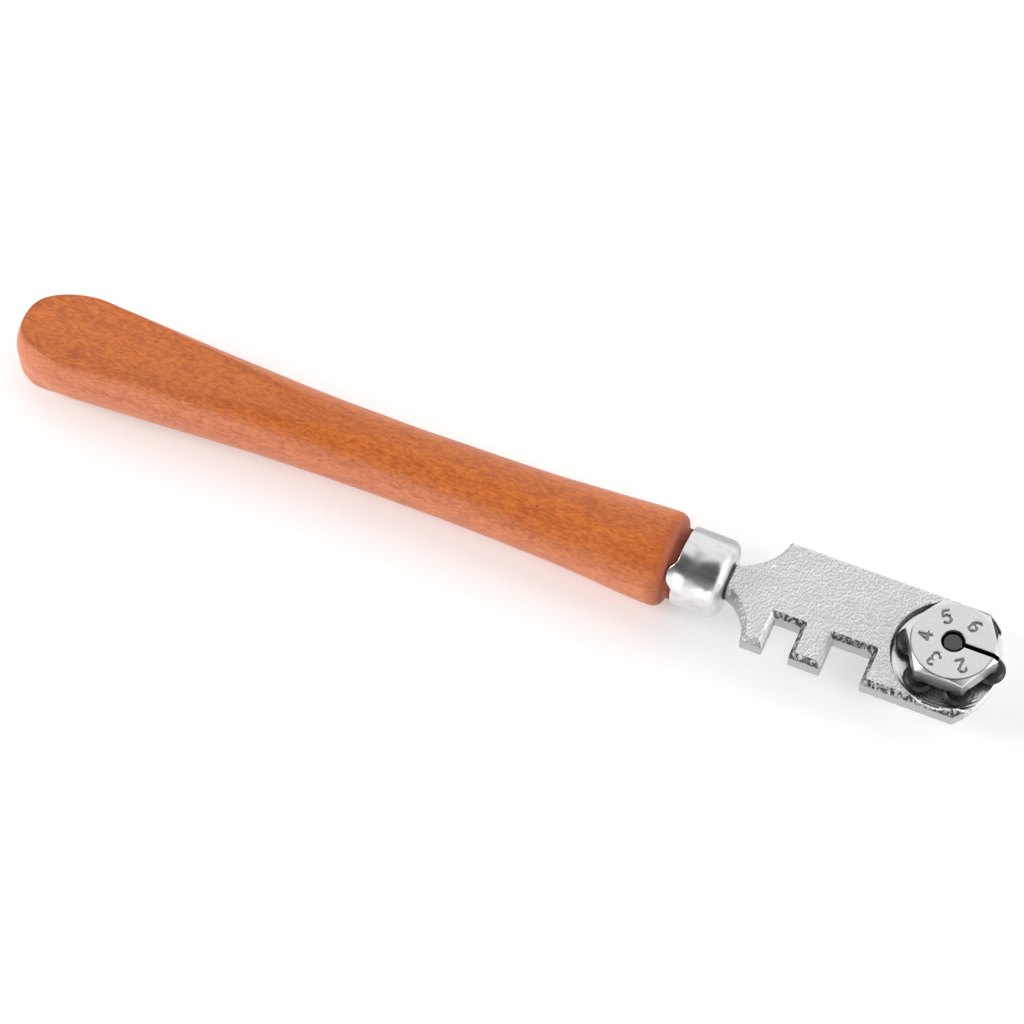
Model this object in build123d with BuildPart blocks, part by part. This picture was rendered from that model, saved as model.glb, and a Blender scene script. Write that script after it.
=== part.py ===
from build123d import *
from math import cos, pi, radians, sin
import os

# Six-wheel glass cutter: turned wooden handle, drawn ferrule, cast head plate and hexagonal wheel turret.
# Millimetres. The tool's axis lies along +X, pointing at the cutting tip. +Z is up, with the numbered face
# of the turret on top, and the plate's notches open towards -Y. The origin is the centre of the footprint,
# at the height of the lowest point of the handle's shoulder.

os.makedirs("parts", exist_ok=True)

# ---- driving dimensions ----
overall_length = 130.0

wheel_count = 6
wheel_radius = 1.95
wheel_thickness = 1.1
wheel_land = 0.14            # flat left at the crest of the cutting rim
wheel_bevel = 0.42           # radial depth of the two cutting bevels
wheel_orbit = 4.85           # turret axis to wheel axle
wheel_bore_radius = 0.47
axle_radius = 0.42
axle_head_radius = 0.85
axle_head_height = 0.16
axle_end_play = 0.04         # gap between a wheel and its axle's head
axle_head_chamfer = 0.06
axle_seat_depth = 1.5        # length of axle pressed into the turret head

handle_shoulder_radius = 6.0
handle_butt_radius = 6.48
butt_length = 7.6            # length of the rounded butt end
handle_flat_half = 3.5       # half thickness across the flats at the butt
handle_flat_taper = 2.0      # degrees by which each flat rises towards the ferrule
handle_edge_soft = 0.45      # sanded edge between a flat and the round side
shoulder_round = 1.2
tenon_radius = 4.48

ferrule_radius = 4.98
ferrule_wall = 0.45
ferrule_nose_round = 1.3
ferrule_ear = 1.0            # how far the drawn lip stands out at its ear
ferrule_ear_angle = 49.0     # degrees from +Z towards -Y

plate_half_width = 7.5
plate_thickness = 3.4
plate_edge_in = 0.6          # cast edge bevel, measured across the face
plate_edge_down = 0.8        # and down the side
tang_half_width = 2.0
tang_depth_in_handle = 15.0
recess_radius = 7.1
recess_depth = 1.25

hex_across_flats = 10.2
hex_underside = 0.65         # height of the turret head's underside above the plate's face
wheel_rise = 0.2             # height of the wheels' upper faces above the plate's face
hex_top = 3.36
hex_chamfer_radius = 5.04     # circle left on top by the turned corner chamfer
hex_chamfer_drop = 0.6
turret_hub_radius = 2.6
spigot_radius = 2.0
spigot_short = 0.2           # how far the spigot's end stays inside the plate's back
boss_radius = 0.95
boss_gap = 0.05              # gap between a boss and the wheel under it
slit_width = 0.55
slit_depth = 1.2
digit_orbit = 3.35
digit_height = 1.62
digit_stroke = 0.32
digit_turns = (6, 6, 9, 3, 0)  # degrees round from their corners, digits 2 to 6
digit_depth = 0.18

screw_radius = 1.25          # M2.5 thread
screw_bore_radius = 1.30
screw_head_radius = 2.5
screw_head_height = 1.8
screw_slot_width = 0.7
screw_slot_depth = 0.9
screw_end_below_face = 0.28
screw_end_chamfer = 0.2
screw_head_round = 0.4
screw_slot_turn = 35.0       # degrees, where the slot came to rest
bore_edge_width = 0.18
spring_washer_outer = 2.45
spring_washer_inner = 1.4
spring_washer_height = 0.7
spring_washer_split = 0.6
spring_washer_turn = 20.0    # degrees by which the split is skewed

running_gap = 0.05           # radial clearance of the turret's spigot in the plate

# ---- stations along the tool, worked out from the dimensions above ----
turret_x = overall_length / 2 - wheel_orbit - wheel_radius
butt_x = -overall_length / 2
shoulder_x = turret_x - 35.0
ferrule_rim_x = turret_x - 33.9
ferrule_nose_x = turret_x - 28.0
tip_x = turret_x + 6.1

axis_z = handle_shoulder_radius
plate_top_z = axis_z + plate_thickness / 2
plate_back_z = plate_top_z - plate_thickness
recess_floor_z = plate_top_z - recess_depth
hex_bottom_z = plate_top_z + hex_underside
hex_top_z = plate_top_z + hex_top
hex_corner_radius = hex_across_flats / 2 / cos(pi / 6)
wheel_top_z = plate_top_z + wheel_rise
wheel_bottom_z = wheel_top_z - wheel_thickness
wheel_mid_z = wheel_top_z - wheel_thickness / 2

tool_axis = Axis((0, 0, axis_z), (1, 0, 0))
turret_axis = Axis((turret_x, 0, 0), (0, 0, 1))


def save(part, name):
    """Label a finished piece and write its STEP file."""
    part.label = name
    export_step(part, f"parts/{name}.step")
    print(f"{name:14s} {part.volume:9.2f} mm3  {len(part.solids())} solid")


def around_turret(index, orbit):
    """Centre of the numbered position with this index on a circle about the turret axis."""
    angle = -2 * pi * index / wheel_count
    return turret_x + orbit * cos(angle), orbit * sin(angle)


def flat_height(x):
    """Height of a handle flat above the tool axis at station x."""
    return handle_flat_half + (x - butt_x) * sin(radians(handle_flat_taper))


# ---- handle: turned with a rounded butt, then flattened on two sides towards that end ----
turned_profile = [
    (butt_x, 0.0),
    (butt_x + 0.45, 3.2),
    (butt_x + 2.0, 4.8),
    (butt_x + 4.2, 5.8),
    (butt_x + butt_length, handle_butt_radius),
    (butt_x + 12.0, 6.34),
    (butt_x + 19.0, 5.96),
    (butt_x + 27.0, 5.52),
    (butt_x + 36.0, 5.09),
    (butt_x + 47.0, 4.84),
    (butt_x + 59.0, 4.87),
    (butt_x + 71.0, 5.12),
    (butt_x + 79.0, 5.56),
    (shoulder_x - shoulder_round, handle_shoulder_radius),
]
flats_end_x = butt_x + 60.0

with BuildPart() as handle:
    with BuildSketch(Plane.XZ):
        with BuildLine():
            side = Spline(
                [(x, axis_z + r) for x, r in turned_profile],
                tangents=[(0, 1), (1, 0.03)],
                tangent_scalars=[1, 1],
            )
            nose = RadiusArc(
                side @ 1, (shoulder_x, axis_z + handle_shoulder_radius - shoulder_round), shoulder_round
            )
            Polyline(nose @ 1, (shoulder_x, axis_z), side @ 0)
        make_face()
    revolve(axis=tool_axis)
    with BuildSketch(Plane.YZ.offset(shoulder_x)):
        with Locations((0, axis_z)):
            Circle(tenon_radius)
    extrude(amount=ferrule_nose_x - ferrule_wall - shoulder_x)
    for side_sign in (1, -1):
        with BuildSketch(Plane.XZ):
            with BuildLine():
                Polyline(
                    (butt_x - 1, axis_z + side_sign * flat_height(butt_x - 1)),
                    (flats_end_x, axis_z + side_sign * flat_height(flats_end_x)),
                    (flats_end_x, axis_z + side_sign * 9),
                    (butt_x - 1, axis_z + side_sign * 9),
                    close=True,
                )
            make_face()
        extrude(amount=9, both=True, mode=Mode.SUBTRACT)
    flats = handle.faces().filter_by(GeomType.PLANE).filter_by(lambda face: abs(face.normal_at().Z) > 0.9)
    fillet(flats.edges(), handle_edge_soft)
    with BuildSketch(Plane.YZ.offset(shoulder_x - tang_depth_in_handle)):
        with Locations((0, axis_z)):
            Rectangle(2 * tang_half_width, plate_thickness)
    extrude(amount=2 * tang_depth_in_handle, mode=Mode.SUBTRACT)
save(handle.part, "handle")


# ---- ferrule: a drawn cup over the handle's tenon, slotted for the tang, with one wavy ear on its lip ----
ear_angle = radians(ferrule_ear_angle)
ear_out = Vector(0, -sin(ear_angle), cos(ear_angle))
lip_rear_x = ferrule_rim_x - ferrule_ear - 0.5
ear_shape = [
    (-5.5, 0.0),
    (-3.2, 0.0),
    (-2.2, 0.14),
    (-1.5, 0.55),
    (-0.8, 0.96),
    (0.0, 1.0),
    (0.8, 0.93),
    (1.45, 0.5),
    (2.2, 0.12),
    (3.3, 0.0),
    (5.5, 0.0),
]

with BuildPart() as ferrule:
    with BuildSketch(Plane.YZ.offset(lip_rear_x)):
        with Locations((0, axis_z)):
            Circle(ferrule_radius)
    extrude(amount=ferrule_nose_x - lip_rear_x)
    fillet(ferrule.faces().sort_by(Axis.X)[-1].edges(), ferrule_nose_round)
    with BuildSketch(Plane.YZ.offset(lip_rear_x)):
        with Locations((0, axis_z)):
            Circle(ferrule_radius - ferrule_wall)
    extrude(amount=ferrule_nose_x - ferrule_wall - lip_rear_x, mode=Mode.SUBTRACT)
    with BuildSketch(Plane.YZ.offset(ferrule_nose_x + 1)):
        with Locations((0, axis_z)):
            Rectangle(2 * tang_half_width, plate_thickness)
    extrude(amount=-3, mode=Mode.SUBTRACT)
    with BuildSketch(Plane(origin=(0, 0, axis_z), x_dir=(1, 0, 0), z_dir=ear_out)):
        with BuildLine():
            lip = Spline([(ferrule_rim_x - ferrule_ear * out, along) for along, out in ear_shape])
            Polyline(lip @ 1, (lip_rear_x - 1, 5.5), (lip_rear_x - 1, -5.5), lip @ 0)
        make_face()
    extrude(amount=6, mode=Mode.SUBTRACT)
    with BuildSketch(Plane(origin=(0, 0, axis_z), x_dir=(1, 0, 0), z_dir=ear_out)):
        with Locations(((lip_rear_x + ferrule_rim_x - 1) / 2, 0)):
            Rectangle(ferrule_rim_x - lip_rear_x + 1, 11)
    extrude(amount=-6, mode=Mode.SUBTRACT)
save(ferrule.part, "ferrule")


# ---- head plate: one casting with its tang, two breaking notches and the turret's recess ----
notch_top_y = -3.05
tooth_tip_y = -plate_half_width
neck_top = (turret_x - 22.9, plate_half_width)
neck_bottom = (turret_x - 23.9, tooth_tip_y)
notches = [
    (turret_x - 21.0, turret_x - 17.75),     # takes 3 mm glass
    (turret_x - 13.65, turret_x - 8.75),     # takes 4 to 5 mm glass
]
cheek_x = turret_x + 2.9

with BuildPart() as head_plate:
    with BuildSketch(Plane.XY.offset(plate_back_z)):
        with BuildLine():
            tip = ThreePointArc((cheek_x, tooth_tip_y), (tip_x, 0), (cheek_x, plate_half_width))
            top_edge = Line(tip @ 1, neck_top)
            top_neck = ThreePointArc(
                top_edge @ 1, (turret_x - 25.1, 3.55), (ferrule_nose_x, tang_half_width)
            )
            root = Line(top_neck @ 1, (ferrule_nose_x, -tang_half_width))
            low_neck = ThreePointArc(root @ 1, (turret_x - 25.35, -3.8), neck_bottom)
            teeth = [neck_bottom]
            for left, right in notches:
                teeth += [(left, tooth_tip_y), (left, notch_top_y)]
                teeth += [(right, notch_top_y), (right, tooth_tip_y)]
            Polyline(*teeth, tip @ 0)
        make_face()
    extrude(amount=plate_thickness)
    for face_rank in (-1, 0):
        broad_face = head_plate.faces().filter_by(Axis.Z).sort_by(Axis.Z)[face_rank]
        rim_edges = broad_face.edges().filter_by_position(Axis.X, ferrule_nose_x + 0.01, tip_x + 1)
        chamfer(rim_edges, length=plate_edge_in, length2=plate_edge_down, reference=broad_face)
    with BuildSketch(Plane.YZ.offset(shoulder_x - tang_depth_in_handle)):
        with Locations((0, axis_z)):
            Rectangle(2 * tang_half_width, plate_thickness)
    extrude(amount=ferrule_nose_x - shoulder_x + tang_depth_in_handle)
    with BuildSketch(Plane.XY.offset(plate_top_z)):
        with Locations((turret_x, 0)):
            Circle(recess_radius)
    extrude(amount=-recess_depth, mode=Mode.SUBTRACT)
    with BuildSketch(Plane.XY.offset(plate_back_z)):
        with Locations((turret_x, 0)):
            Circle(spigot_radius + running_gap)
    extrude(amount=plate_thickness, mode=Mode.SUBTRACT)
save(head_plate.part, "head_plate")


# ---- turret body: hexagonal head over a round hub, with a spigot through the plate ----
def draw_digit(value):
    """Strokes of one stamped digit, one unit high and centred, in the current BuildLine."""
    if value == 2:
        crown = ThreePointArc((-0.28, 0.24), (0.02, 0.5), (0.27, 0.2))
        Polyline(crown @ 1, (-0.3, -0.5), (0.32, -0.5))
    elif value == 3:
        upper = ThreePointArc((-0.27, 0.38), (0.2, 0.36), (-0.04, 0.03))
        ThreePointArc(upper @ 1, (0.28, -0.28), (-0.3, -0.38))
    elif value == 4:
        stem = Polyline((0.14, -0.5), (0.14, -0.2), (0.14, 0.5), (-0.32, -0.2), (0.14, -0.2))
        Line(stem @ 1, (0.34, -0.2))
    elif value == 5:
        flag = Polyline((0.27, 0.5), (-0.2, 0.5), (-0.24, 0.06))
        ThreePointArc(flag @ 1, (0.28, -0.2), (-0.28, -0.42))
    elif value == 6:
        sweep = ThreePointArc((0.24, 0.47), (-0.18, 0.2), (-0.28, -0.22))
        ThreePointArc(sweep @ 1, (0.0, -0.5), (0.28, -0.22))
        ThreePointArc((0.28, -0.22), (0.0, 0.06), sweep @ 1)


with BuildPart() as turret_body:
    with BuildSketch(Plane.XY.offset(hex_bottom_z)):
        with Locations((turret_x, 0)):
            RegularPolygon(hex_corner_radius, wheel_count)
    extrude(amount=hex_top_z - hex_bottom_z)
    with BuildSketch(Plane.XZ):
        with BuildLine():
            Polyline(
                (turret_x + hex_chamfer_radius, hex_top_z),
                (turret_x + hex_corner_radius, hex_top_z - hex_chamfer_drop),
                (turret_x + hex_corner_radius + 1, hex_top_z - hex_chamfer_drop),
                (turret_x + hex_corner_radius + 1, hex_top_z),
                close=True,
            )
        make_face()
    revolve(axis=turret_axis, mode=Mode.SUBTRACT)
    with BuildSketch(Plane.XY.offset(recess_floor_z)):
        with Locations((turret_x, 0)):
            Circle(turret_hub_radius)
    extrude(amount=hex_bottom_z - recess_floor_z)
    with BuildSketch(Plane.XY.offset(recess_floor_z)):
        with Locations((turret_x, 0)):
            Circle(spigot_radius)
    extrude(amount=-(plate_thickness - recess_depth - spigot_short))
    boss_centres = [around_turret(k, wheel_orbit) for k in range(wheel_count)]
    with BuildSketch(Plane.XY.offset(wheel_top_z + boss_gap)):
        with Locations(*boss_centres):
            Circle(boss_radius)
    extrude(amount=hex_bottom_z - wheel_top_z - boss_gap)
    with BuildSketch(Plane.XY.offset(wheel_top_z)):
        with Locations(*boss_centres):
            Circle(axle_radius)
    extrude(amount=hex_bottom_z - wheel_top_z + axle_seat_depth, mode=Mode.SUBTRACT)
    with Locations((turret_x, 0, hex_top_z)):
        CounterSinkHole(
            radius=screw_bore_radius,
            counter_sink_radius=screw_bore_radius + bore_edge_width,
            counter_sink_angle=90,
        )
    with BuildSketch(Plane.XY.offset(hex_top_z)):
        with Locations((turret_x + hex_corner_radius / 2 + 0.5, 0)):
            Rectangle(hex_corner_radius + 1, slit_width)
    extrude(amount=-slit_depth, mode=Mode.SUBTRACT)
    for index, turn in enumerate(digit_turns, start=1):
        centre_x, centre_y = around_turret(index - turn * wheel_count / 360, digit_orbit)
        outward = Vector(centre_x - turret_x, centre_y, 0).normalized()
        sideways = Vector(outward.Y, -outward.X, 0)
        with BuildSketch(Plane(origin=(centre_x, centre_y, hex_top_z), x_dir=sideways, z_dir=(0, 0, 1))):
            with BuildLine() as strokes:
                draw_digit(index + 1)
                scale(by=digit_height)
            for stroke in strokes.edges():
                trace(stroke, line_width=digit_stroke)
            with Locations(*strokes.vertices()):
                Circle(digit_stroke / 2)
        extrude(amount=-digit_depth, mode=Mode.SUBTRACT)
save(turret_body.part, "turret_body")


# ---- six hardened cutting wheels, each on its own headed axle under one corner of the turret ----
for index in range(wheel_count):
    wheel_x, wheel_y = around_turret(index, wheel_orbit)
    axle_line = Axis((wheel_x, wheel_y, 0), (0, 0, 1))
    section_plane = Plane(origin=(wheel_x, wheel_y, wheel_mid_z), x_dir=(1, 0, 0), z_dir=(0, -1, 0))

    with BuildPart() as wheel:
        with BuildSketch(section_plane):
            with BuildLine():
                Polyline(
                    (wheel_bore_radius, wheel_thickness / 2),
                    (wheel_radius - wheel_bevel, wheel_thickness / 2),
                    (wheel_radius, wheel_land / 2),
                    (wheel_radius, -wheel_land / 2),
                    (wheel_radius - wheel_bevel, -wheel_thickness / 2),
                    (wheel_bore_radius, -wheel_thickness / 2),
                    close=True,
                )
            make_face()
        revolve(axis=axle_line)
    save(wheel.part, f"wheel_{index + 1}")

    axle_top_z = hex_bottom_z + axle_seat_depth
    axle_shank_bottom_z = wheel_bottom_z - axle_end_play
    with BuildPart() as axle:
        with BuildSketch(Plane.XY.offset(axle_shank_bottom_z)):
            with Locations((wheel_x, wheel_y)):
                Circle(axle_radius)
        extrude(amount=axle_top_z - axle_shank_bottom_z)
        with BuildSketch(Plane.XY.offset(axle_shank_bottom_z - axle_head_height)):
            with Locations((wheel_x, wheel_y)):
                Circle(axle_head_radius)
        extrude(amount=axle_head_height)
        chamfer(axle.edges().group_by(Axis.Z)[0], axle_head_chamfer)
    save(axle.part, f"axle_{index + 1}")


# ---- split spring washer and the slotted clamp screw that pulls the turret down from behind ----
washer_bottom_z = plate_back_z - spring_washer_height

with BuildPart() as spring_washer:
    with BuildSketch(Plane.XY.offset(washer_bottom_z)):
        with Locations((turret_x, 0)):
            Circle(spring_washer_outer)
            Circle(spring_washer_inner, mode=Mode.SUBTRACT)
        with Locations((turret_x - (spring_washer_outer + spring_washer_inner) / 2, 0)):
            Rectangle(2, spring_washer_split, rotation=spring_washer_turn, mode=Mode.SUBTRACT)
    extrude(amount=spring_washer_height)
save(spring_washer.part, "spring_washer")

with BuildPart() as clamp_screw:
    with BuildSketch(Plane.XY.offset(washer_bottom_z)):
        with Locations((turret_x, 0)):
            Circle(screw_radius)
    extrude(amount=hex_top_z - screw_end_below_face - washer_bottom_z)
    chamfer(clamp_screw.edges().group_by(Axis.Z)[-1], screw_end_chamfer)
    with BuildSketch(Plane.XY.offset(washer_bottom_z - screw_head_height)):
        with Locations((turret_x, 0)):
            Circle(screw_head_radius)
    extrude(amount=screw_head_height)
    fillet(clamp_screw.edges().group_by(Axis.Z)[0], screw_head_round)
    with BuildSketch(Plane.XY.offset(washer_bottom_z - screw_head_height)):
        with Locations((turret_x, 0)):
            Rectangle(2 * screw_head_radius + 1, screw_slot_width, rotation=screw_slot_turn)
    extrude(amount=screw_slot_depth, mode=Mode.SUBTRACT)
save(clamp_screw.part, "clamp_screw")
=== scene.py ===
import bpy
import bmesh
import math
from mathutils import Matrix, Vector, noise


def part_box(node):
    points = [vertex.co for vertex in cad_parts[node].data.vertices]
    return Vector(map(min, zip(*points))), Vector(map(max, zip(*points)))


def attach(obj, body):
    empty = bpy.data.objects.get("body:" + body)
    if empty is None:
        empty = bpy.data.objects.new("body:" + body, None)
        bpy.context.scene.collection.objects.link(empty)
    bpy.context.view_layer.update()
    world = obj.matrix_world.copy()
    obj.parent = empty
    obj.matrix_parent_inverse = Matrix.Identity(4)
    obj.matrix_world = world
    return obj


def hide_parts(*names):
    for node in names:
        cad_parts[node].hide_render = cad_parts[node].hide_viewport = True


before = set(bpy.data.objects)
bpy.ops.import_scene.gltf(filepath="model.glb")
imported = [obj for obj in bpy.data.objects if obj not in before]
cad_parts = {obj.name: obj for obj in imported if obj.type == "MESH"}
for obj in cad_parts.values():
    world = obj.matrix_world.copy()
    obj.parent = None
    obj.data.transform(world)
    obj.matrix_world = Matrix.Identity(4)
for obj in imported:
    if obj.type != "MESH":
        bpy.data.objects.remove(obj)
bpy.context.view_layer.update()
mm = 0.001


class Wire:
    # one socket of a node tree, which adds Math nodes when it is used in a sum
    def __init__(self, graph, socket):
        self.graph = graph
        self.socket = socket

    def maths(self, operation, *others, flipped=False):
        values = [self, *others]
        if flipped:
            values.reverse()
        made = self.graph.add("ShaderNodeMath", {"operation": operation}, dict(enumerate(values)))
        return made["Value"]

    def __add__(self, other):
        return self.maths("ADD", other)

    def __sub__(self, other):
        return self.maths("SUBTRACT", other)

    def __rsub__(self, other):
        return self.maths("SUBTRACT", other, flipped=True)

    def __mul__(self, other):
        return self.maths("MULTIPLY", other)

    def __pow__(self, other):
        return self.maths("POWER", other)

    __radd__ = __add__
    __rmul__ = __mul__


class Outputs:
    # the outputs of a node, each taken by its name as a wire
    def __init__(self, graph, node):
        self.graph = graph
        self.node = node

    def __getitem__(self, key):
        return Wire(self.graph, self.node.outputs[key])


class Graph:
    # the node tree of one finish
    def __init__(self, tree):
        self.tree = tree
        self.tree.nodes.clear()

    def add(self, kind, settings=None, sockets=None):
        node = self.tree.nodes.new(kind)
        for key, value in (settings or {}).items():
            setattr(node, key, value)
        for key, value in (sockets or {}).items():
            if isinstance(value, Wire):
                self.tree.links.new(value.socket, node.inputs[key])
            else:
                node.inputs[key].default_value = value
        return Outputs(self, node)

    def place(self):
        # the point on the piece, in millimetres of the shared frame
        spot = self.add("ShaderNodeTexCoord")["Object"]
        return self.vector("SCALE", spot, Scale=1000.0)

    def vector(self, operation, first, second=None, **named):
        sockets = {0: first, **named}
        if second is not None:
            sockets[1] = second
        return self.add("ShaderNodeVectorMath", {"operation": operation}, sockets)["Vector"]

    def stretch(self, point, amounts):
        return self.vector("MULTIPLY", point, amounts)

    def split(self, point):
        parts = self.add("ShaderNodeSeparateXYZ", None, {0: point})
        return parts["X"], parts["Y"], parts["Z"]

    def clouds(self, point, scale, detail=3.0, rough=0.55):
        values = {"Vector": point, "Scale": scale, "Detail": detail, "Roughness": rough}
        return self.add("ShaderNodeTexNoise", {"noise_dimensions": "3D"}, values)["Fac"]

    def cells(self, point, scale):
        return self.add("ShaderNodeTexVoronoi", None, {"Vector": point, "Scale": scale})["Distance"]

    def ease(self, value, low, high, start=0.0, end=1.0):
        # a smooth step from start at low to end at high, where low may be the greater of the two
        values = {"Value": value, "From Min": low, "From Max": high, "To Min": start, "To Max": end}
        return self.add("ShaderNodeMapRange", {"interpolation_type": "SMOOTHSTEP"}, values)["Result"]

    def blend(self, amount, first, second):
        # sockets 0, 6 and 7 of a colour Mix are its amount and its two colours, and output 2 is the result
        values = {0: amount, 6: paint(first), 7: paint(second)}
        made = self.add("ShaderNodeMix", {"data_type": "RGBA"}, values)
        return Wire(self, made.node.outputs[2])

    def relief(self, height, depth, strength=1.0, under=None):
        values = {"Height": height, "Distance": depth, "Strength": strength}
        if under is not None:
            values["Normal"] = under
        return self.add("ShaderNodeBump", None, values)["Normal"]

    def tag(self, name):
        # a value that the mesh carries on its vertices
        return self.add("ShaderNodeAttribute", {"attribute_name": name})["Fac"]


def paint(colour):
    # a colour as a socket takes it, with its alpha
    return colour if isinstance(colour, Wire) or len(colour) == 4 else (*colour, 1)


def finish(name, sockets):
    # a Principled finish from a function that fills in its sockets
    material = bpy.data.materials.new(name)
    material.use_nodes = True
    graph = Graph(material.node_tree)
    shader = graph.add("ShaderNodeBsdfPrincipled", None, sockets(graph))
    graph.add("ShaderNodeOutputMaterial", None, {"Surface": shader["BSDF"]})
    return material


def offTurretAxis(x, y):
    # how far the shaded point is from the turret's axis
    dx = x - casting["turretX"]
    return (dx * dx + y * y) ** 0.5


def woodSockets(g):
    # stained wood: long soft bands, short flecks, fine fibres and a few dark pores
    p = g.place()
    bands = g.clouds(g.stretch(p, (0.035, 0.8, 0.8)), 0.55, 3.0, 0.6)
    mottle = g.clouds(g.stretch(p, (0.45, 1.0, 1.0)), 1.1, 4.0, 0.6)
    fleck = g.clouds(g.stretch(p, (0.40, 1.0, 1.0)), 3.0, 3.0, 0.65)
    fibre = g.clouds(g.stretch(p, (0.07, 1.0, 1.0)), 9.0, 2.0, 0.6)
    pore = g.ease(g.clouds(g.stretch(p, (0.34, 1.0, 1.0)), 2.6, 1.0, 0.5), 0.33, 0.27)
    deepPore = g.ease(g.cells(g.stretch(p, (0.5, 1.0, 1.0)), 0.3), 0.05, 0.03)
    ends = g.tag("endTone")
    edge = g.tag("edgeDarkAndFarShade")
    tone = 0.22 * g.ease(bands, 0.3, 0.7) + 0.26 * g.ease(mottle, 0.3, 0.7)
    tone = tone + 0.40 * g.ease(fleck, 0.38, 0.62) + 0.12 * g.ease(fibre, 0.3, 0.7)
    colour = g.blend(tone, (0.37, 0.060, 0.004), (0.74, 0.195, 0.024))
    # painted sheen: the near side of the handle is paler and pinker
    sheenTint = g.blend(tone, (0.50, 0.120, 0.045), (0.78, 0.270, 0.120))
    colour = g.blend(0.72 * g.tag("nearSideSheen"), colour, sheenTint)
    colour = g.blend(0.40 * pore, colour, (0.26, 0.045, 0.010))
    colour = g.blend(0.60 * deepPore, colour, (0.10, 0.022, 0.008))
    # darker along the flats' edges and towards the shoulder, and painted shade on the far rounding
    colour = g.blend(0.6 * edge, colour, (0.33, 0.045, 0.010))
    colour = g.blend(0.9 * ends, colour, g.blend(mottle, (0.20, 0.040, 0.022), (0.46, 0.11, 0.06)))
    height = fleck * 0.6 + fibre * 0.35 - pore * 0.8 - deepPore * 1.2
    return {
        "Base Color": colour,
        "Roughness": 0.38 + 0.16 * fleck + 0.12 * ends + 0.3 * edge,
        "Specular IOR Level": 0.5,
        "Coat Weight": 0.22 - 0.22 * edge,
        "Coat Roughness": 0.28,
        "Normal": g.relief(height, 0.00005, 0.6),
    }


def ferruleSockets(g):
    # thin plated sheet, gently dented, with a painted dark reflection band on its far side
    p = g.place()
    smear = g.clouds(g.stretch(p, (0.35, 1.0, 1.0)), 0.9, 3.0, 0.6)
    specks = g.clouds(p, 5.0, 2.0, 0.6)
    swirl = g.clouds(p, 0.34, 1.0, 0.4)
    drawLines = g.clouds(g.stretch(p, (7.0, 0.5, 0.5)), 1.0, 2.0, 0.6)
    tarnish = g.ease(smear, 0.50, 0.70)
    colour = g.blend(0.40 * tarnish, (0.78, 0.78, 0.78), (0.48, 0.48, 0.49))
    x, y, z = g.split(p)
    # painted reflection: a dark band on the far side stands for the shaded floor behind
    farReflectionBand = g.ease(y + 1.2 * smear, 2.5, 4.0) * g.ease(z, 6.0, 8.0)
    colour = g.blend(0.75 * farReflectionBand, colour, (0.26, 0.27, 0.27))
    colour = g.blend(0.5 * g.tag("lipTone"), colour, (0.30, 0.29, 0.28))
    # painted shadow: the opening's edge and wall are near black, as the gap round the tang
    colour = g.blend(g.tag("slotShade"), colour, (0.03, 0.03, 0.03))
    height = specks * 0.3 + drawLines * 0.25
    return {
        "Base Color": colour,
        "Metallic": 1.0,
        "Roughness": 0.21 + 0.12 * smear + 0.05 * specks,
        "Normal": g.relief(height, 0.00001, 0.25, g.relief(swirl, 0.0008, 0.5)),
    }


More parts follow.
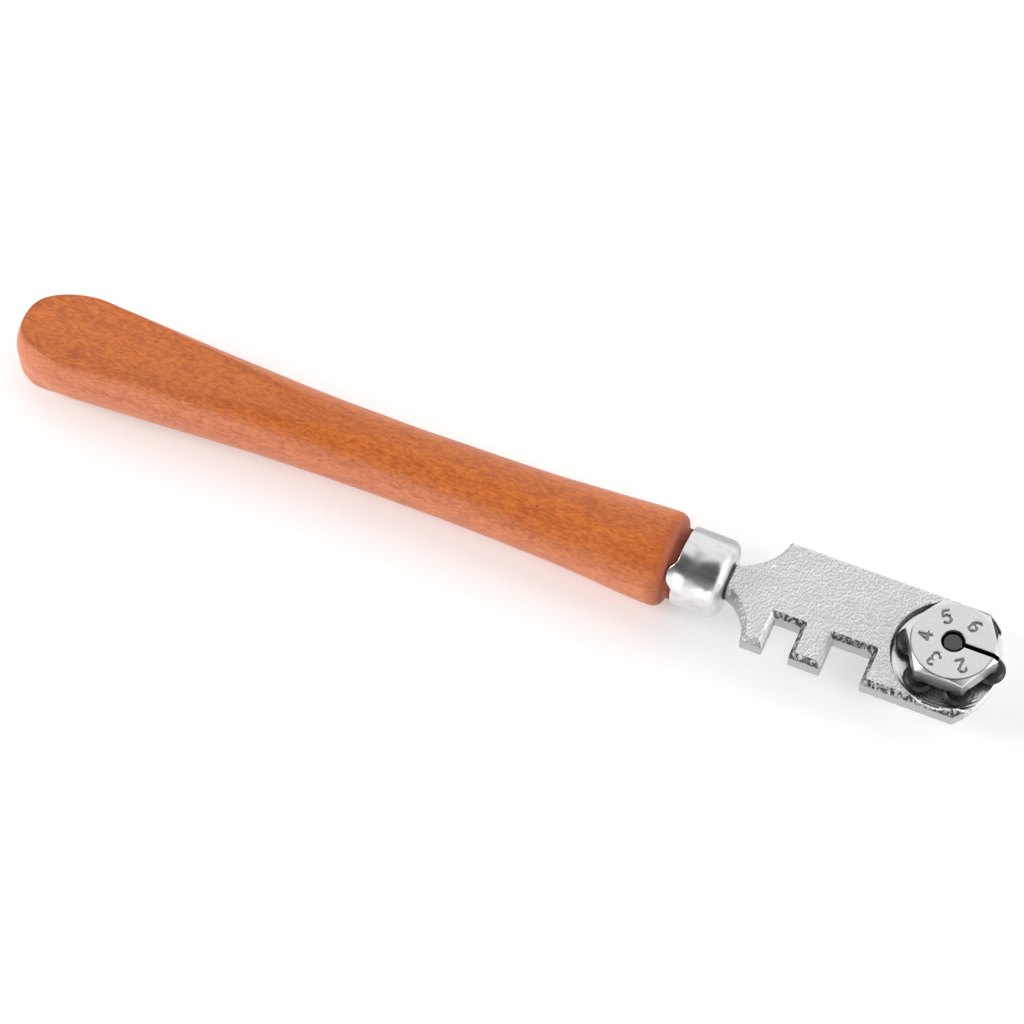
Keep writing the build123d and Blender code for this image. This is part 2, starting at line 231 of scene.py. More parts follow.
def castingSockets(g):
    # a pebbled plated skin, turned smooth in the recess, with painted light and shade on its pebbles, painted
    # shade on its upright walls and round the neck's root, trim streaks and a painted dark reflection on two
    # of the slopes, and a painted highlight on the slopes facing right
    p = g.place()
    x, y, z = g.split(p)
    recess = casting["recess"]
    radius = offTurretAxis(x, y)
    turned = g.ease(radius, recess["radius"], recess["radius"] - 0.15)
    turned = turned * g.ease(z, recess["floor"] + 0.35, recess["floor"] + 0.2)
    slopeMarksAndDarkReflection = g.tag("slopeMarksAndDarkReflection")
    smoothHighlitSlope = g.tag("smoothHighlitSlope")
    shadedSmoothWall = g.tag("shadedSmoothWall")
    rough = (1.0 - 0.9 * turned) * (1.0 - 0.8 * smoothHighlitSlope) * (1.0 - 0.85 * shadedSmoothWall)
    pebbles = {"squeeze": (1.0, 0.75, 1.0), "scale": 3.4, "aside": (0.09, -0.11, 0.0)}
    pebble = g.clouds(g.stretch(p, pebbles["squeeze"]), pebbles["scale"], 2.0, 0.55)
    grit = g.clouds(p, 5.6, 2.0, 0.6)
    stain = g.clouds(p, 0.5, 3.0, 0.55)
    streak = g.ease(g.clouds(g.stretch(p, (1.9, 1.0, 1.0)), 1.5, 4.0, 0.7), 0.43, 0.55)
    streak = streak * g.ease(x, casting["toothX"] - 3.0, casting["toothX"], 0.3, 1.0)
    rings = (radius * 15.0 + 1.5 * g.clouds(p, 0.6, 1.0)).maths("SINE")
    ringed = turned * g.ease(y, -3.2, -5.0) * 0.12 * rings
    height = rough * (pebble + 0.45 * grit) + ringed + slopeMarksAndDarkReflection * streak * 0.8
    # the same pebbles a little aside tell which flank of each bump takes a painted highlight and which a
    # painted shade
    aside = g.stretch(g.vector("ADD", p, pebbles["aside"]), pebbles["squeeze"])
    litFlank = g.ease(pebble - g.clouds(aside, pebbles["scale"], 2.0, 0.55), -0.10, 0.09)
    speck = rough * g.ease(grit, 0.40, 0.30)
    colour = g.blend(g.ease(stain, 0.35, 0.7), (0.92, 0.92, 0.92), (0.84, 0.84, 0.84))
    # painted shade on the unlit flank of each bump
    colour = g.blend(rough * (1.0 - litFlank), colour, (0.58, 0.58, 0.58))
    colour = g.blend(0.40 * speck, colour, (0.20, 0.20, 0.20))
    # painted shade on the upright walls
    colour = g.blend(0.9 * shadedSmoothWall, colour, (0.46, 0.46, 0.46))
    # painted shade where the neck goes into the ferrule
    neckRootShade = g.ease(x, casting["neckX"] + 0.45, casting["neckX"] + 0.25)
    colour = g.blend(0.95 * neckRootShade, colour, (0.06, 0.06, 0.06))
    # painted dark reflection on the slopes facing front and left, with their trim streaks darker still
    colour = g.blend(slopeMarksAndDarkReflection * (0.22 + 0.75 * streak), colour, (0.05, 0.05, 0.05))
    # painted highlight on the slopes facing right
    colour = g.blend(smoothHighlitSlope, colour, (0.90, 0.90, 0.90))
    return {
        "Base Color": colour,
        "Metallic": 1.0,
        "Roughness": (0.33 + 0.16 * grit) * (1.0 - 0.3 * turned),
        "Normal": g.relief(height, 0.00018, 1.0),
    }


def turretSockets(g):
    # satin plating with painted shade in the stamped digits, the bore and the slit, along the near half of
    # the chamfer's edge and on the hex sides
    p = g.place()
    x, y, z = g.split(p)
    t = turret
    top = t["top"]
    radius = offTurretAxis(x, y)
    sunk = g.ease(z, top - 0.035, top - 0.11) * g.ease(z, top - 0.30, top - 0.24)
    stamped = sunk * g.ease(radius, 4.35, 4.25) * g.ease(radius, 1.6, 1.75)
    flatTop = g.ease(z, top - 0.06, top - 0.02)
    bore = g.ease(radius, t["bore"] + 0.09, t["bore"] + 0.02)
    offSlit = y.maths("ABSOLUTE")
    slit = g.ease(offSlit, t["slit"] + 0.07, t["slit"])
    slit = slit * g.ease(x - casting["turretX"], t["slitStart"] - 0.1, t["slitStart"])
    slit = slit * g.ease(z, top - 0.03, top - 0.12)
    offLine = (radius - t["chamfer"]).maths("ABSOLUTE")
    line = g.ease(offLine, 0.13, 0.05) * g.ease(y, 0.6, -0.8) * g.ease(z, top - 0.2, top - 0.1)
    grain = g.clouds(p, 4.2, 3.0, 0.6)
    lines = g.clouds(g.stretch(p, (1.0, 1.0, 7.0)), 2.0, 2.0, 0.6)
    colour = g.blend(grain, (0.68, 0.68, 0.68), (0.84, 0.84, 0.84))
    # painted shade on the hex sides
    side = g.ease(z, top - 0.55, top - 0.75)
    colour = g.blend(0.55 * side, colour, (0.24, 0.24, 0.24))
    # painted shade in the digits, the bore, the slit and along the near half of the chamfer's edge
    dark = (stamped * 0.72).maths("MAXIMUM", bore).maths("MAXIMUM", slit).maths("MAXIMUM", 0.7 * line)
    colour = g.blend(dark, colour, (0.045, 0.045, 0.045))
    return {
        "Base Color": colour,
        "Metallic": 1.0,
        "Roughness": 0.24 + 0.12 * flatTop + 0.12 * grain,
        "Normal": g.relief(grain * flatTop + lines * (1.0 - flatTop) * 0.6, 0.00005, 0.6),
    }


def screwSockets(g):
    # oiled steel, with painted shadow round the threaded end
    p = g.place()
    x, y, z = g.split(p)
    radius = offTurretAxis(x, y)
    grain = g.clouds(p, 4.0, 3.0, 0.6)
    # painted shadow in the thread round the end
    rim = g.ease(radius, 1.06, 1.16) * g.ease(z, turret["top"] - 4.0, turret["top"] - 3.0)
    colour = g.blend(grain, (0.07, 0.07, 0.072), (0.15, 0.15, 0.152))
    return {
        "Base Color": g.blend(rim, colour, (0.02, 0.02, 0.02)),
        "Metallic": 1.0,
        "Roughness": 0.34 + 0.16 * grain,
        "Normal": g.relief(grain, 0.00003, 0.5),
    }


def steelSockets(colour, deep, rough, ringScale):
    # plain ground steel; a greater ring scale draws finer rings round an upright axis
    def sockets(g):
        p = g.place()
        grain = g.clouds(p, 6.0, 3.0, 0.6)
        bands = g.clouds(g.stretch(p, (0.6, 0.6, ringScale)), 1.5, 2.0, 0.6)
        return {
            "Base Color": g.blend(0.6 * grain + 0.4 * bands, deep, colour),
            "Metallic": 1.0,
            "Roughness": rough + 0.14 * grain,
            "Normal": g.relief(grain * 0.5 + bands * 0.5, 0.000015, 0.4),
        }
    return sockets


def newPiece(name, verts, faces, material):
    mesh = bpy.data.meshes.new(name)
    mesh.from_pydata([tuple(v) for v in verts], [], faces)
    mesh.validate()
    mesh.update()
    for face in mesh.polygons:
        face.use_smooth = True
    piece = bpy.data.objects.new(name, mesh)
    bpy.context.scene.collection.objects.link(piece)
    mesh.materials.append(material)
    return piece


def tagVerts(piece, name, values):
    layer = piece.data.attributes.new(name, "FLOAT", "POINT")
    layer.data.foreach_set("value", values)


def throughPoints(points, spacing, cuts=60):
    # a smooth line through the points, walked at an even spacing
    ends = [points[0] * 2 - points[1]] + points + [points[-1] * 2 - points[-2]]
    walked = [points[0].copy()]
    fine = []
    for a, b, c, d in zip(ends, ends[1:], ends[2:], ends[3:]):
        knots = [0.0]  # set by the root of each gap, which keeps the line calm
        for u, v in ((a, b), (b, c), (c, d)):
            knots.append(knots[-1] + max((v - u).length, 1e-9) ** 0.5)
        for step in range(cuts):
            t = knots[1] + (knots[2] - knots[1]) * step / cuts

            def mixed(u, v, low, high):
                return u * ((high - t) / (high - low)) + v * ((t - low) / (high - low))

            ab = mixed(a, b, knots[0], knots[1])
            bc = mixed(b, c, knots[1], knots[2])
            cd = mixed(c, d, knots[2], knots[3])
            abc = mixed(ab, bc, knots[0], knots[2])
            bcd = mixed(bc, cd, knots[1], knots[3])
            fine.append(mixed(abc, bcd, knots[1], knots[2]))
    fine.append(points[-1])
    travelled = 0.0
    for before, after in zip(fine, fine[1:]):
        travelled += (after - before).length
        if travelled >= spacing:
            walked.append(after.copy())
            travelled = 0.0
    walked[-1] = points[-1].copy()
    return walked


def ringFaces(ringCount, sides, first=0):
    # four-sided faces between neighbouring rings of vertices
    faces = []
    for ring in range(ringCount - 1):
        for k in range(sides):
            nextK = (k + 1) % sides
            low = first + ring * sides
            faces.append((low + k, low + nextK, low + sides + nextK, low + sides + k))
    return faces


def roundedCorners(points, radius, cuts=4):
    # a polyline of (radius, height) with each inner corner rounded
    made = [Vector(points[0])]
    for before, corner, after in zip(points, points[1:], points[2:]):
        before, corner, after = Vector(before), Vector(corner), Vector(after)
        back = min(radius, (before - corner).length * 0.45)
        ahead = min(radius, (after - corner).length * 0.45)
        start = corner + (before - corner).normalized() * back
        end = corner + (after - corner).normalized() * ahead
        for step in range(cuts + 1):
            t = step / cuts
            made.append(start.lerp(corner, t).lerp(corner.lerp(end, t), t))
    made.append(Vector(points[-1]))
    return made


def lathed(name, profile, centre, material, sides=96):
    # turns a profile of (radius, height) in millimetres about an upright axis; a closed profile makes a ring
    verts = []
    for radius, height in profile:
        for k in range(sides):
            angle = 2 * math.pi * k / sides
            spot = (centre[0] + radius * math.cos(angle), centre[1] + radius * math.sin(angle), height)
            verts.append(Vector(spot) * mm)
    faces = ringFaces(len(profile), sides)
    last = (len(profile) - 1) * sides
    faces += [(last + k, last + (k + 1) % sides, (k + 1) % sides, k) for k in range(sides)]
    piece = newPiece(name, verts, faces, material)
    fixNormals(piece)
    return piece


def fixNormals(piece):
    shell = bmesh.new()
    shell.from_mesh(piece.data)
    bmesh.ops.remove_doubles(shell, verts=shell.verts, dist=1e-7)
    bmesh.ops.recalc_face_normals(shell, faces=shell.faces)
    shell.to_mesh(piece.data)
    shell.free()


def softened(name, node, sizes, material):
    # a finely remeshed copy of a CAD node with its edges eased, for casting and plating relief
    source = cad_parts[node]
    mesh = source.data.copy()
    mesh.transform(Matrix.Scale(1000.0, 4))
    mesh.materials.clear()
    piece = bpy.data.objects.new(name, mesh)
    bpy.context.scene.collection.objects.link(piece)
    skin = piece.modifiers.new("skin", "REMESH")
    skin.mode = "VOXEL"
    skin.voxel_size = sizes["voxel"]
    skin.use_smooth_shade = True
    ease = piece.modifiers.new("ease", "SMOOTH")
    ease.factor = 0.5
    ease.iterations = sizes["relax"]
    graph = bpy.context.evaluated_depsgraph_get()
    made = bpy.data.meshes.new_from_object(piece.evaluated_get(graph))
    made.name = name
    made.transform(Matrix.Scale(mm, 4))
    piece.modifiers.clear()
    piece.data = made
    bpy.data.meshes.remove(mesh)
    made.materials.clear()
    made.materials.append(material)
    return piece


def pushed(piece, amount):
    # moves each vertex along its normal by what the function gives, in millimetres
    mesh = piece.data
    normals = [v.normal.copy() for v in mesh.vertices]
    for vert, normal in zip(mesh.vertices, normals):
        vert.co += normal * (amount(vert.co * 1000.0, normal) * mm)
    mesh.update()


def standFor(piece, body, slot, *nodes):
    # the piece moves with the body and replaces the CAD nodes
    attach(piece, body)
    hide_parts(*nodes)


handle = {
    "buttX": -65.0,
    "profile": [           # places along the axis and radii
        (-65.0, 0.0), (-64.87, 1.7), (-64.55, 3.2), (-63.95, 4.05), (-63.0, 4.8), (-60.8, 5.8),
        (-57.4, 6.48), (-53.0, 6.34), (-46.0, 5.96), (-38.0, 5.52), (-29.0, 5.09), (-18.0, 4.84),
        (-6.0, 4.87), (6.0, 5.12), (14.0, 5.56), (18.2, 5.84), (21.6, 5.985), (22.35, 5.9),
        (22.95, 5.5), (23.17, 4.95),
    ],
    "tenon": [(23.2, 4.48), (29.7, 4.48)],
    "axisZ": 6.0,
    "flatHalf": 3.5,       # from the axis to each flat, at the butt
    "flatRise": math.sin(math.radians(2.0)),
    "flatEnd": 20.0,
    "edgeSoft": 0.33,
    "boxedX": -57.0,       # the lower half grows boxier from here to the butt
    "boxedOver": 5.2,
    "boxedSoft": 0.7,
    "buttRound": (0.9, 1.2),  # how much the boxed half drops at the very end, and over what length
    "wobble": 0.05,
    "shoulderX": 22.45,
    "spacing": 0.32,
    "sides": 220,
}
thin = 1e-4  # keeps a division away from zero


def softLeast(a, b, width):
    # the lesser of two lengths, with a smooth turn between them
    h = clamped(0.5 + 0.5 * (b - a) / width)
    return b + (a - b) * h - width * h * (1 - h)


def clamped(value):
    return max(0.0, min(1.0, value))


def flatAt(x):
    return handle["flatHalf"] + (x - handle["buttX"]) * handle["flatRise"]


def handleReach(x, radius, across, up):
    # how far the wood reaches from its axis: round, cut by two flats, and boxier below at the butt
    h = handle
    if x >= h["flatEnd"]:
        return radius
    flat = flatAt(x)
    reach = softLeast(radius, flat / max(abs(up), thin), h["edgeSoft"])
    square = clamped((h["boxedX"] - x) / h["boxedOver"]) * clamped(-up / 0.45)
    if square > 0:
        drop, over = h["buttRound"]
        low = flat - drop * max(0.0, 1 - (x - h["buttX"]) / over) ** 2
        boxed = softLeast(radius / max(abs(across), thin), low / max(-up, thin), h["boxedSoft"])
        reach += (boxed - reach) * square * square * (3 - 2 * square)
    return reach


def handleTones(x, radius, across, up):
    # how far a spot is end grain, darkened along a flat's edge and towards the shoulder, painted shade on the
    # far rounding, and painted sheen on the near side, each from 0 to 1
    limit = flatAt(x) / max(abs(up), thin)
    offFlat = min(clamped(0.5 + (limit - radius) / 0.5), clamped((0.8 - up) / 0.25))
    angled = clamped((0.62 - up) / 0.5)
    side = offFlat + (angled - offFlat) * clamped((x + 5.0) / 12.0)
    far = clamped(across / 0.3) if up > 0 else 0.0
    rim = max(0.0, 1 - abs(radius - limit) / 0.4) if x < 10 else 0.0
    # the far rounding takes painted shade along its top
    if x < handle["flatEnd"]:
        rim = max(rim, 0.8 * far * side)
    butt = clamped((-61.5 - x) / 2.0)
    return {
        "endTone": clamped((x - handle["shoulderX"]) / 0.6),
        "edgeDarkAndFarShade": max(rim * (0.35 + 0.65 * butt), 0.5 * clamped((x - 21.3) / 0.8)),
        "nearSideSheen": side * (1 - far),
    }


def makeHandle(material):
    h = handle
    sides = h["sides"]
    outline = throughPoints([Vector((x, r, 0)) for x, r in h["profile"]], h["spacing"])
    outline += [Vector((x, r, 0)) for x, r in h["tenon"]]
    verts = [Vector((h["buttX"], 0, h["axisZ"])) * mm]
    tones = {"endTone": [0.0], "edgeDarkAndFarShade": [0.0], "nearSideSheen": [1.0]}
    for spot in outline[1:]:
        x, radius = spot.x, spot.y
        for k in range(sides):
            angle = 2 * math.pi * k / sides
            across, up = math.cos(angle), math.sin(angle)
            reach = handleReach(x, radius, across, up)
            y, z = reach * across, reach * up
            # hand sanding leaves it a little uneven between its ends
            uneven = noise.noise(Vector((x * 0.16, y * 0.3, z * 0.3))) * h["wobble"] - 0.03
            shift = 1 + (uneven / max(reach, 1.0) if -64.5 < x < 22 else 0)
            verts.append(Vector((x, y * shift, h["axisZ"] + z * shift)) * mm)
            for name, tone in handleTones(x, radius, across, up).items():
                tones[name].append(tone)
    faces = [(0, 1 + (k + 1) % sides, 1 + k) for k in range(sides)]
    faces += ringFaces(len(outline) - 1, sides, 1)
    last = 1 + (len(outline) - 2) * sides
    faces.append(tuple(last + k for k in range(sides)))
    piece = newPiece("turnedHandle", verts, faces, material)
    for name, values in tones.items():
        tagVerts(piece, name, values)
    return piece


ferrule = {
    "radius": 4.98,
    "wall": 0.42,
    "rimX": 24.3,
    "noseX": 30.2,
    "noseRound": 1.35,
    "earAngle": 49.0,      # degrees from straight up towards the notch side
    "earHalf": 17.5,       # degrees
    "earReach": 1.0,
    "slot": (2.03, 1.73),  # half width and half height of the opening for the tang
    "slotSquare": 14,      # a greater power gives sharper corners
    "bodySteps": 14,
    "noseSteps": 10,
    "sides": 240,
}


def lipPlace(angle):
    # where the lip ends along the handle: wavy, with one ear that reaches further back
    f = ferrule
    off = (math.degrees(angle) - f["earAngle"] + 180) % 360 - 180
    ear = math.exp(-abs(off / f["earHalf"]) ** 3.2) * f["earReach"]
    ear += 0.10 * math.sin(3 * angle + 0.8) - 0.05 + 0.12 * math.exp(-((off - 95) / 14) ** 2)
    return f["rimX"] - max(ear, 0.0)


def slotReach(angle):
    # from the axis to the edge of the opening for the tang, a box with soft corners
    halfWide, halfHigh = ferrule["slot"]
    power = ferrule["slotSquare"]
    s, c = abs(math.sin(angle)), abs(math.cos(angle))
    return ((s / halfWide) ** power + (c / halfHigh) ** power) ** (-1 / power)


def ferruleRings():
    # from inside the lip, over it, along the outside and round the nose, as kind, place and radius
    f = ferrule
    outer, inner = f["radius"], f["radius"] - f["wall"]
    lip = [
        (0.9, inner), (0.16, inner), (0.03, inner + 0.1),
        (-0.01, inner + 0.24), (0.06, outer - 0.05), (0.2, outer),
    ]
    rings = [("lip", along, radius) for along, radius in lip]
    rings += [("body", step / f["bodySteps"], outer) for step in range(1, f["bodySteps"] + 1)]
    for step in range(1, f["noseSteps"] + 1):
        turn = math.pi / 2 * step / f["noseSteps"]
        back, drop = 1 - math.sin(turn), 1 - math.cos(turn)
        rings.append(("nose", f["noseRound"] * back, outer - f["noseRound"] * drop))
    return rings


def makeFerrule(material):
    f = ferrule
    sides = f["sides"]
    angles = [2 * math.pi * k / sides for k in range(sides)]
    lipEdge = 0.2
    verts, lipTone = [], []

    def spot(x, radius, angle):
        return Vector((x, -radius * math.sin(angle), handle["axisZ"] + radius * math.cos(angle))) * mm

    for kind, along, radius in ferruleRings():
        for angle in angles:
            lipX = lipPlace(angle)
            if kind == "lip":
                x = lipX + along
            elif kind == "body":
                x = lipX + lipEdge + along * (f["noseX"] - f["noseRound"] - lipX - lipEdge)
            else:
                x = f["noseX"] - along
            dent = noise.noise(Vector((x * 0.28, math.cos(angle) * 1.2, math.sin(angle) * 1.2))) * 0.07 - 0.04
            dent = min(dent, 0.0) if kind != "lip" or along > 0.1 else 0.0
            outside = radius > f["radius"] - f["wall"] + 0.3
            verts.append(spot(x, radius + (dent if outside else 0), angle))
            lipTone.append(1.0 if kind == "lip" and along > 0.5 else 0.0)
    # the nose's flat face in to the opening, whose edge is turned in a little
    start = f["radius"] - f["noseRound"]
    for share in (0.66, 0.33, 0.06, 0.0):
        for angle in angles:
            edge = slotReach(angle)
            verts.append(spot(f["noseX"] - (0.02 if share else 0.06), edge + (start - edge) * share, angle))
            lipTone.append(0.0)
    for angle in angles:
        verts.append(spot(f["noseX"] - f["wall"], slotReach(angle), angle))
        lipTone.append(1.0)
    piece = newPiece("drawnFerrule", verts, ringFaces(len(verts) // sides, sides), material)
    tagVerts(piece, "lipTone", lipTone)
    # the opening's edge and wall take painted shadow
    slotVerts = 2 * sides
    tagVerts(piece, "slotShade", [0.0] * (len(verts) - slotVerts) + [1.0] * slotVerts)
    return piece


casting = {
    "turretX": 58.2,
    "topZ": 7.7,
    "voxel": 0.13,
    "relax": 2,
    "recess": {"radius": 7.1, "floor": 7.7 - 1.25},
    "neckX": 30.2,
    "toothX": 38.5,
    "slopesFrom": 31.1,
    "slopesDeep": 1.6,
    "pebble": 0.045,
    "turnedPebble": 0.012,  # what the turning has left in the recess
    "dents": {"places": [(33.6, 3.1), (34.9, 3.2)], "radius": 0.42, "depth": 0.16},
}
turret = {
    "top": 11.06,
    "bore": 1.42,
    "slit": 0.275,
    "slitStart": 1.3,
    "chamfer": 5.02,
    "voxel": 0.075,
    "relax": 2,
}


def makeCasting(material):
    piece = softened("castHeadPlate", "head_plate", casting, material)
    recess, dents = casting["recess"], casting["dents"]
    centre = Vector((casting["turretX"], 0))

    def relief(p, normal):
        inside = (Vector((p.x, p.y)) - centre).length < recess["radius"] + 0.1
        inRecess = inside and p.z < casting["topZ"] - 0.2
        rough = noise.noise(p * 1.6) * 0.5 + noise.noise(p * 3.6) * 0.5
        waves = noise.noise(p * 0.35) * 0.03 - 0.02
        push = waves + casting["turnedPebble" if inRecess else "pebble"] * (rough - 0.5)
        for x, y in dents["places"]:
            gap = Vector((p.x - x, p.y - y)).length
            if gap < dents["radius"] and normal.z > 0.6:
                push -= dents["depth"] * (0.5 + 0.5 * math.cos(math.pi * gap / dents["radius"]))
        # the tang and the neck's root are calmer, as they fit into the ferrule
        return push if p.x > casting["neckX"] + 0.4 else 0.25 * push - 0.01

    pushed(piece, relief)
    # the slopes round the top are told by the way they face: trim streaks and a painted dark reflection on
    # some, a painted highlight on others, and painted shade on the upright walls
    slopeMarksAndDarkReflection, smoothHighlitSlope, shadedSmoothWall = [], [], []
    for vert in piece.data.vertices:
        p, normal = vert.co * 1000.0, vert.normal
        clear = (Vector((p.x, p.y)) - centre).length > recess["radius"] + 0.25
        high = p.z > casting["topZ"] - casting["slopesDeep"]
        slope = 0.35 < normal.z < 0.93 and p.x > casting["slopesFrom"] and high
        slopeMarksAndDarkReflection.append(1.0 if clear and slope and (normal.y < -0.3 or normal.x < -0.4) else 0.0)
        smoothHighlitSlope.append(1.0 if clear and slope and normal.x > 0.3 and normal.y > -0.3 else 0.0)
        shadedSmoothWall.append(1.0 if abs(normal.z) < 0.33 and clear else 0.0)
    tagVerts(piece, "slopeMarksAndDarkReflection", slopeMarksAndDarkReflection)
    tagVerts(piece, "shadedSmoothWall", shadedSmoothWall)
    tagVerts(piece, "smoothHighlitSlope", smoothHighlitSlope)
    return piece


def makeTurret(material):
    piece = softened("hexTurret", "turret_body", turret, material)
    pushed(piece, lambda p, normal: noise.noise(p * 2.2) * 0.008 + noise.noise(p * 0.5) * 0.01 - 0.01)
    return piece


wheel = {
    "count": 6,
    "orbit": 4.85,
    "midZ": 7.35,
    "radius": 1.95,
    "bore": 0.47,
    "half": 0.55,  # of the thickness
    "bevel": 0.42,
    "land": 0.07,  # half of the blunt edge that is left between the bevels
    "soft": 0.07,
}
pin = {"radius": 0.42, "head": 0.85, "headHeight": 0.16, "soft": 0.06, "sides": 64}
screw = {"voxel": 0.07, "relax": 1}
washer = {"voxel": 0.07, "relax": 1, "slack": 0.025}  # the slack keeps it off the screw's head


def wheelCentre(index):
    angle = -2 * math.pi * index / wheel["count"]
    return casting["turretX"] + wheel["orbit"] * math.cos(angle), wheel["orbit"] * math.sin(angle)


def makeWheel(index, material):
    w = wheel
    onTop = (w["bore"] + 0.2, w["half"])  # the closed profile starts on a flat, away from its corners
    points = [
        onTop, (w["radius"] - w["bevel"], w["half"]), (w["radius"], w["land"]),
        (w["radius"], -w["land"]), (w["radius"] - w["bevel"], -w["half"]), (w["bore"], -w["half"]),
        (w["bore"], w["half"]), onTop,
    ]
    profile = [(r, w["midZ"] + z) for r, z in roundedCorners(points, w["soft"])]
    return lathed(f"cuttingWheel{index + 1}", profile, wheelCentre(index), material)


def makePin(index, material):
    low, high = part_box(f"axle_{index + 1}")
    bottom, top = low[2] / mm, high[2] / mm
    neck = bottom + pin["headHeight"]
    points = [
        (0.0, bottom), (pin["head"], bottom), (pin["head"], neck),
        (pin["radius"], neck), (pin["radius"], top), (0.0, top),
    ]
    profile = roundedCorners(points, pin["soft"])
    return lathed(f"headedPin{index + 1}", profile, wheelCentre(index), material, pin["sides"])


def makeScrew(material):
    return softened("slottedScrew", "clamp_screw", screw, material)


def makeWasher(material):
    piece = softened("splitWasher", "spring_washer", washer, material)
    pushed(piece, lambda p, normal: -washer["slack"])
    return piece


woodFinish = finish("orangeStainedWood", woodSockets)
ferruleFinish = finish("brightNickelSheet", ferruleSockets)
castingFinish = finish("platedCasting", castingSockets)
turretFinish = finish("satinNickelSteel", turretSockets)
# the wheels' dark steel is darkened further with painted shade for lying under the hex
wheelFinish = finish("wheelSteelDarkAndShaded", steelSockets((0.07, 0.07, 0.072), (0.03, 0.03, 0.032), 0.32, 4.0))
pinFinish = finish("plainPinSteel", steelSockets((0.26, 0.26, 0.27), (0.14, 0.14, 0.15), 0.34, 1.0))
screwFinish = finish("oiledScrewSteel", screwSockets)
washerFinish = finish("springWasherSteel", steelSockets((0.30, 0.30, 0.31), (0.15, 0.15, 0.155), 0.32, 1.0))
print("finishes made")

standFor(makeHandle(woodFinish), "tool_frame", "stained_wood", "handle")
print("handle made")
standFor(makeFerrule(ferruleFinish), "tool_frame", "nickel_ferrule", "ferrule")
print("ferrule made")
standFor(makeCasting(castingFinish), "tool_frame", "plated_casting", "head_plate")
print("head plate made")
standFor(makeTurret(turretFinish), "turret", "turret_nickel", "turret_body")
print("turret made")
for index in range(wheel["count"]):
    standFor(makeWheel(index, wheelFinish), f"wheel_{index + 1}", "wheel_steel", f"wheel_{index + 1}")
    standFor(makePin(index, pinFinish), "turret", "axle_steel", f"axle_{index + 1}")
standFor(makeScrew(screwFinish), "screw", "fastener_steel", "clamp_screw")
standFor(makeWasher(washerFinish), "washer", "fastener_steel", "spring_washer")
print("wheels, pins, screw and washer made")


studio = {
    "floorZ": 0.0,
    "floorHalf": 3.0,  # metres
    "floorGlow": 0.29,
    "world": 1.0,
    # a dark patch of the surroundings: its direction, the cosines where it is full and ends, what is left
    "dark": {"towards": (-0.20, -0.55, 0.81), "inner": 0.88, "outer": 0.58, "left": 0.04},
    "lights": [
        # place, aim, size and power, in metres and watts
        ((-0.70, -0.30, 0.50), (0.0, 0, 0.01), 0.45, 4.5),
        ((0.70, 0.10, 0.22), (0.04, 0, 0.01), 0.30, 1.5),
        ((0.08, -0.90, 0.20), (-0.02, 0, 0.01), 0.50, 1.1),
    ],
}
shot = {
    # lengths in millimetres, angles in degrees
    "target": (2.674, -2.081, 7.7), "turn": 25.203, "height": 59.662, "roll": -2.188,
    "distance": 425.8, "lens": 123.54,
}


def makeFloor():
    half, z = studio["floorHalf"], studio["floorZ"]
    corners = [(-half, -half, z), (half, -half, z), (half, half, z), (-half, half, z)]

    def sockets(g):
        grain = g.clouds(g.place(), 0.02, 2.0, 0.5)
        return {
            "Base Color": g.blend(grain, (0.80, 0.80, 0.80), (0.82, 0.82, 0.82)),
            "Roughness": 0.7,
            "Specular IOR Level": 0.2,
            "Emission Color": (1.0, 1.0, 1.0, 1.0),
            "Emission Strength": studio["floorGlow"],
        }

    floor = newPiece("paleFloor", corners, [(0, 1, 2, 3)], finish("paleFloorPaint", sockets))


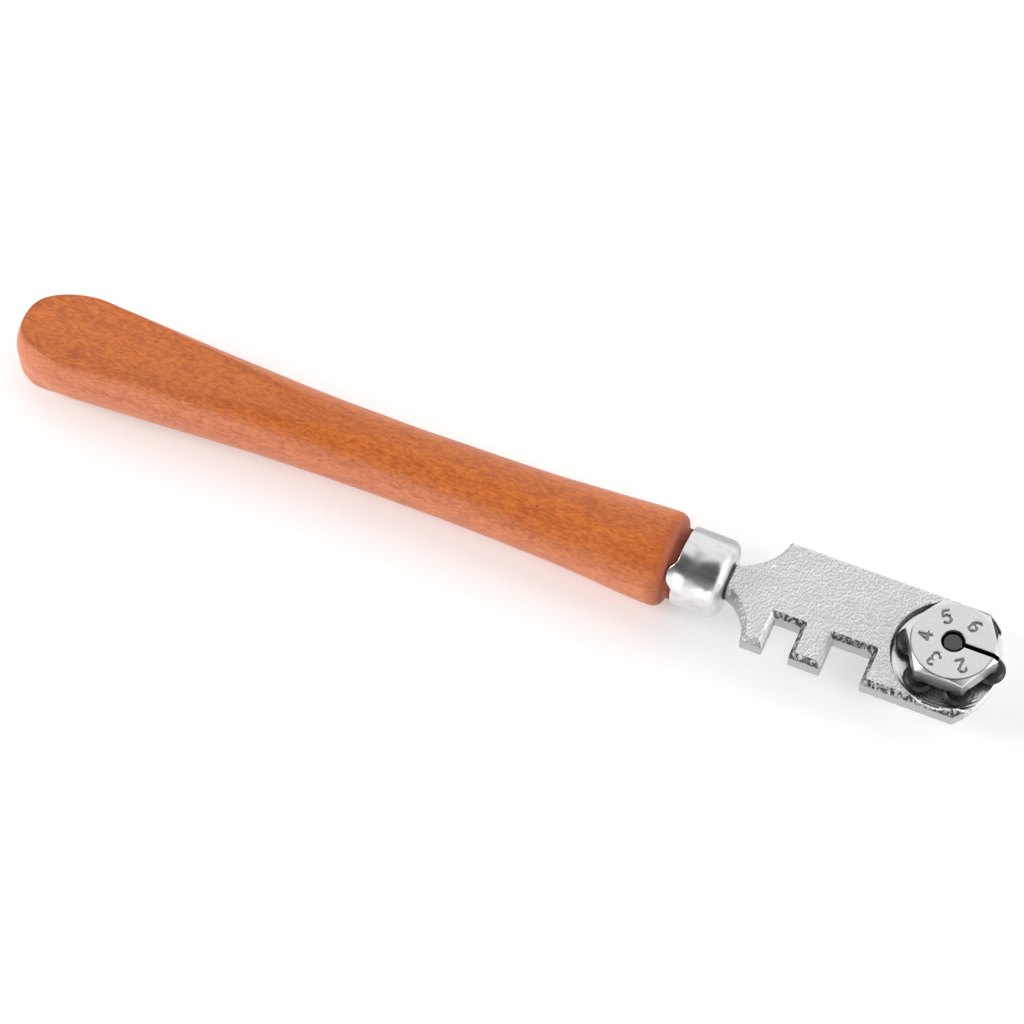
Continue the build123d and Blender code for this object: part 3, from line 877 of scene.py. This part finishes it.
def makeWorld():
    world = bpy.data.worlds.new("softStudio")
    bpy.context.scene.world = world
    world.use_nodes = True
    g = Graph(world.node_tree)
    ray = g.add("ShaderNodeTexCoord")["Generated"]
    dark = studio["dark"]
    facing = g.add("ShaderNodeVectorMath", {"operation": "DOT_PRODUCT"},
                   {0: ray, 1: Vector(dark["towards"]).normalized()})["Value"]
    shade = g.ease(facing, dark["outer"], dark["inner"], 1.0, dark["left"])
    colour = g.blend(shade, (0.0, 0.0, 0.0), (1.0, 1.0, 1.0))
    glow = g.add("ShaderNodeBackground", None, {"Color": colour, "Strength": studio["world"]})
    g.add("ShaderNodeOutputWorld", None, {"Surface": glow["Background"]})


def makeLights():
    for number, (place, aim, size, power) in enumerate(studio["lights"]):
        lamp = bpy.data.lights.new(f"softBox{number + 1}", "AREA")
        lamp.shape = "DISK"
        lamp.size = size
        lamp.energy = power
        holder = bpy.data.objects.new(lamp.name, lamp)
        bpy.context.scene.collection.objects.link(holder)
        holder.location = place
        holder.rotation_euler = (Vector(aim) - Vector(place)).to_track_quat("-Z", "Y").to_euler()


def makeCamera():
    # the view turns about the target, tips up by the height and then rolls about its own line of sight
    turn, height, roll = (math.radians(shot[key]) for key in ("turn", "height", "roll"))
    right = Vector((math.cos(turn), math.sin(turn), 0))
    back = Vector((math.sin(turn) * math.cos(height), -math.cos(turn) * math.cos(height), math.sin(height)))
    up = back.cross(right)
    rightRolled = right * math.cos(roll) + up * math.sin(roll)
    upRolled = back.cross(rightRolled)
    lens = bpy.data.cameras.new("studioCamera")
    lens.lens = shot["lens"]
    lens.sensor_width = 36.0
    lens.clip_start = 0.01
    lens.clip_end = 20.0
    camera = bpy.data.objects.new("studioCamera", lens)
    bpy.context.scene.collection.objects.link(camera)
    place = (Vector(shot["target"]) + back * shot["distance"]) * mm
    turned = Matrix((rightRolled, upRolled, back)).transposed().to_4x4()
    camera.matrix_world = Matrix.Translation(place) @ turned
    bpy.context.scene.camera = camera


makeFloor()
makeWorld()
makeLights()
makeCamera()
bpy.context.scene.view_settings.view_transform = "Standard"
bpy.context.scene.view_settings.look = "None"
print("floor, light and camera set")
